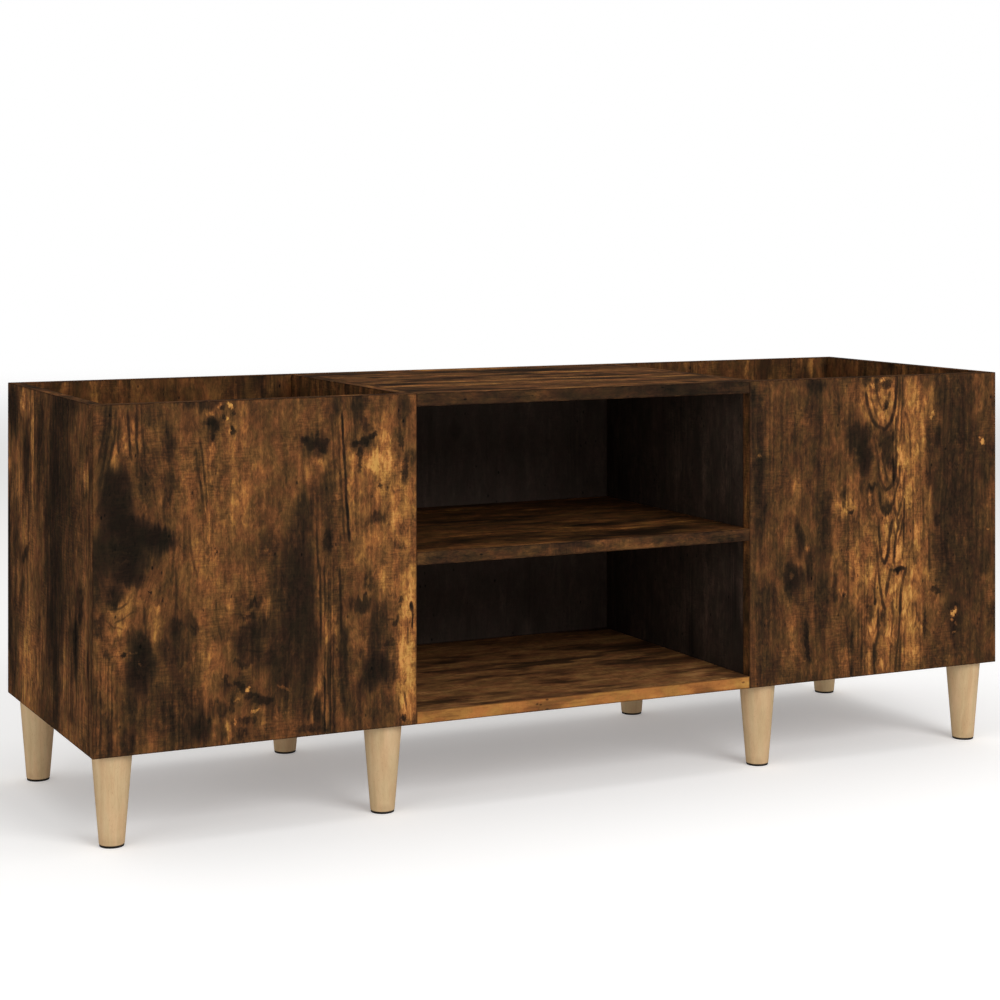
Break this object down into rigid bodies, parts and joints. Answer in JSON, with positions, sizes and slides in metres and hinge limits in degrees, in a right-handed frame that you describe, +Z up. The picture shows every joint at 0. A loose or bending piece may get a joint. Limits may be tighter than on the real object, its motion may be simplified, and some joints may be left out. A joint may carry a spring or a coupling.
{
  "type": "record cabinet",
  "caption": "Low record cabinet: open-topped record bins either side of a two-tier open centre section for audio equipment, in dark wood-decor board on short tapered round legs.",
  "frame": {"origin": "on the floor, below the middle of the cabinet", "axes": "+X to the right along the front, +Y towards the back (the front faces -Y), +Z up"},
  "size_m": [1.21, 0.38, 0.483],
  "materials": {
    "smoked_oak_board": "satin smoked-oak decor, dark brown with burnt patches, knots and orange-brown streaks",
    "leg_wood": "pale clear-lacquered wood, satin",
    "glide_plastic": "dark moulded plastic",
    "zinc_steel": "bright zinc plated"
  },
  "bodies": {
    "root": {"left_side_panel": "smoked_oak_board", "left_divider_panel": "smoked_oak_board", "left_front_panel": "smoked_oak_board", "left_back_panel": "smoked_oak_board", "left_bottom_board": "smoked_oak_board", "left_record_floor": "smoked_oak_board", "left_front_floor_rail": "smoked_oak_board", "left_rear_floor_rail": "smoked_oak_board", "right_side_panel": "smoked_oak_board", "right_divider_panel": "smoked_oak_board", "right_front_panel": "smoked_oak_board", "right_back_panel": "smoked_oak_board", "right_bottom_board": "smoked_oak_board", "right_record_floor": "smoked_oak_board", "right_front_floor_rail": "smoked_oak_board", "right_rear_floor_rail": "smoked_oak_board", "centre_top_board": "smoked_oak_board", "centre_shelf": "smoked_oak_board", "centre_bottom_board": "smoked_oak_board", "centre_back_panel": "smoked_oak_board", "top_left_front_cam_connector": "zinc_steel", "top_left_rear_cam_connector": "zinc_steel", "top_right_front_cam_connector": "zinc_steel", "top_right_rear_cam_connector": "zinc_steel", "bottom_left_front_cam_connector": "zinc_steel", "bottom_left_rear_cam_connector": "zinc_steel", "bottom_right_front_cam_connector": "zinc_steel", "bottom_right_rear_cam_connector": "zinc_steel", "left_outer_front_leg": "leg_wood", "left_outer_front_leg_bolt": "zinc_steel", "left_outer_front_insert_nut": "zinc_steel", "left_outer_front_glide": "glide_plastic", "left_outer_rear_leg": "leg_wood", "left_outer_rear_leg_bolt": "zinc_steel", "left_outer_rear_insert_nut": "zinc_steel", "left_outer_rear_glide": "glide_plastic", "left_inner_front_leg": "leg_wood", "left_inner_front_leg_bolt": "zinc_steel", "left_inner_front_insert_nut": "zinc_steel", "left_inner_front_glide": "glide_plastic", "left_inner_rear_leg": "leg_wood", "left_inner_rear_leg_bolt": "zinc_steel", "left_inner_rear_insert_nut": "zinc_steel", "left_inner_rear_glide": "glide_plastic", "right_outer_front_leg": "leg_wood", "right_outer_front_leg_bolt": "zinc_steel", "right_outer_front_insert_nut": "zinc_steel", "right_outer_front_glide": "glide_plastic", "right_outer_rear_leg": "leg_wood", "right_outer_rear_leg_bolt": "zinc_steel", "right_outer_rear_insert_nut": "zinc_steel", "right_outer_rear_glide": "glide_plastic", "right_inner_front_leg": "leg_wood", "right_inner_front_leg_bolt": "zinc_steel", "right_inner_front_insert_nut": "zinc_steel", "right_inner_front_glide": "glide_plastic", "right_inner_rear_leg": "leg_wood", "right_inner_rear_leg_bolt": "zinc_steel", "right_inner_rear_insert_nut": "zinc_steel", "right_inner_rear_glide": "glide_plastic"}
  },
  "joints": []
}
